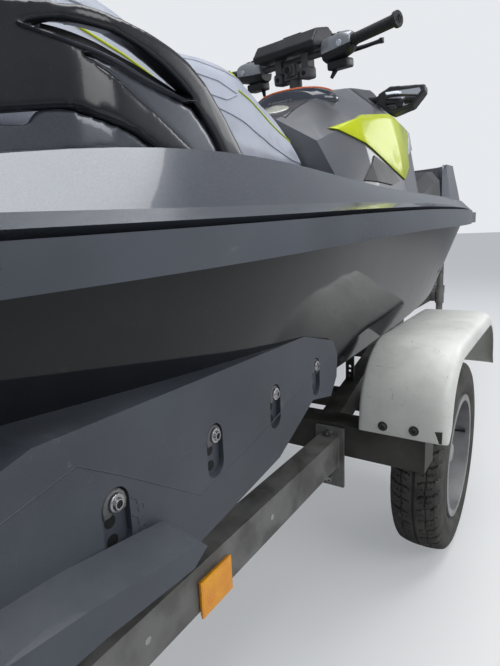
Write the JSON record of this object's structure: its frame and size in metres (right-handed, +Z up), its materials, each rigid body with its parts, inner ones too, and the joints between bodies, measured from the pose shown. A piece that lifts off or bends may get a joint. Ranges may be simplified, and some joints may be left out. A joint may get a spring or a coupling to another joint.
{
  "type": "personal watercraft on a road trailer",
  "caption": "Three-seat jet-driven personal watercraft with handlebar steering, strapped on a single-axle galvanised trailer with a jockey wheel.",
  "frame": {"origin": "on the floor under the middle of the whole, trailer included", "axes": "+X towards the bow and the coupler, +Y to port, +Z up"},
  "size_m": [4.7, 1.43, 1.6706],
  "materials": {
    "hull_gloss": "gloss",
    "deck_grey": "metallic gloss",
    "belt_grey": "satin gloss",
    "body_grey": "metallic gloss",
    "black_plastic": "grained matte",
    "lime": "gloss",
    "lamp_trim": "gloss",
    "hood_black": "satin",
    "mirror_glass": "polished",
    "smoked": "smoked gloss",
    "seat_vinyl": "coated vinyl",
    "black_satin": "satin",
    "sponson_grey": "matte",
    "cast_grey": "cast, painted",
    "silver_plastic": "satin metallic",
    "grip_rubber": "ribbed",
    "engine_metal": "cast",
    "mat_foam": "grooved foam",
    "drive_metal": "cast",
    "steel": "machined",
    "galvanised": "galvanised, dirty",
    "chassis_dark": "painted, worn",
    "rim_silver": "silver paint, scuffed",
    "tyre": "worn",
    "fender_white": "off-white, scuffed",
    "bunk_carpet": "carpet",
    "webbing": "woven",
    "lamp_red": "lens",
    "amber": "prismatic"
  },
  "bodies": {
    "root": {"hull": "hull_gloss", "deck": "deck_grey", "bumper": "belt_grey", "fairing": "body_grey", "nose_skirt": "black_plastic", "bow_cowl": "deck_grey", "haunches": "deck_grey", "lime_panels": "lime", "side_vents": "black_plastic", "headlamps": "lamp_trim", "gauge_pod": "smoked", "seat_front": "seat_vinyl", "seat_rear": "seat_vinyl", "grab_handle": "black_satin", "sponson_left": "sponson_grey", "sponson_right": "sponson_grey", "column_base": "black_plastic", "engine_block": "engine_metal", "mats": "mat_foam", "ride_plate": "drive_metal", "intake_grate": "drive_metal", "pump_housing": "drive_metal", "step_brackets": "steel", "tow_eyes": "steel", "side_rails": "galvanised", "cross_beams": "chassis_dark", "chassis_beams": "chassis_dark", "drawbar": "chassis_dark", "axle": "chassis_dark", "fenders": "fender_white", "bunks": "bunk_carpet", "bunk_brackets": "chassis_dark", "winch_post": "chassis_dark", "bow_stop": "grip_rubber", "winch": "galvanised", "winch_strap": "webbing", "coupler": "galvanised", "jockey_clamp": "galvanised", "light_board": "black_plastic", "tail_lamps": "lamp_red", "reflectors": "amber"},
    "handlebar": {"handlebar": "cast_grey", "bar_pad": "black_plastic", "switch_housings": "silver_plastic", "grips": "grip_rubber"},
    "hood": {"hood_lid": "hood_black", "mirror_shells": "black_plastic", "mirror_glasses": "mirror_glass"},
    "glove_lid": {"glove_lid": "body_grey"},
    "impeller": {"impeller": "steel"},
    "nozzle": {"steering_nozzle": "drive_metal"},
    "gate": {"reverse_gate": "drive_metal"},
    "step": {"boarding_step": "black_satin"},
    "wheel_left": {"rim_left": "rim_silver", "tyre_left": "tyre"},
    "wheel_right": {"rim_right": "rim_silver", "tyre_right": "tyre"},
    "jockey_leg": {"jockey_leg": "galvanised"},
    "jockey_fork": {"jockey_fork": "galvanised"},
    "jockey_wheel": {"jockey_wheel": "grip_rubber"}
  },
  "joints": [
    {"name": "steering", "type": "hinge", "parent": "root", "child": "handlebar", "pos_m": [-0.284, 0, 1.58], "axis": [-0.1392, 0, 0.9903], "range_deg": [-12, 32]},
    {"name": "nozzle_turn", "type": "hinge", "parent": "root", "child": "nozzle", "pos_m": [-1.982, 0, 0.594], "axis": [0, 0, -1], "range_deg": [-12, 32]},
    {"name": "gate_swing", "type": "hinge", "parent": "root", "child": "gate", "pos_m": [-2.05, 0, 0.624], "axis": [0, -1, 0], "range_deg": [0, 70]},
    {"name": "impeller_spin", "type": "hinge", "parent": "root", "child": "impeller", "pos_m": [-1.765, 0, 0.594], "axis": [1, 0, 0], "continuous": true},
    {"name": "hood_hinge", "type": "hinge", "parent": "root", "child": "hood", "pos_m": [0.864, 0, 1.376], "axis": [0, 1, 0], "range_deg": [0, 60]},
    {"name": "glove_hinge", "type": "hinge", "parent": "root", "child": "glove_lid", "pos_m": [-0.393, 0, 1.417], "axis": [0, 1, 0], "range_deg": [0, 55]},
    {"name": "step_fold", "type": "hinge", "parent": "root", "child": "step", "pos_m": [-2.09, 0, 0.715], "axis": [0, -1, 0], "range_deg": [0, 140], "stiffness_Nm_per_rad": 12, "springref_deg": -34.38},
    {"name": "wheel_left_spin", "type": "hinge", "parent": "root", "child": "wheel_left", "pos_m": [-0.556, 0.61, 0.284], "axis": [0, 1, 0], "continuous": true},
    {"name": "wheel_right_spin", "type": "hinge", "parent": "root", "child": "wheel_right", "pos_m": [-0.556, -0.61, 0.284], "axis": [0, 1, 0], "continuous": true},
    {"name": "jockey_lift", "type": "slide", "parent": "root", "child": "jockey_leg", "axis": [0, 0, 1], "range_m": [0, 0.14]},
    {"name": "jockey_swivel", "type": "hinge", "parent": "jockey_leg", "child": "jockey_fork", "pos_m": [1.87, -0.095, 0.23], "axis": [0, 0, 1], "continuous": true},
    {"name": "jockey_spin", "type": "hinge", "parent": "jockey_fork", "child": "jockey_wheel", "pos_m": [1.84, -0.095, 0.1], "axis": [0, 1, 0], "continuous": true}
  ],
  "couplings": [
    {"joint": "nozzle_turn", "follows": "steering", "ratio": 1}
  ]
}
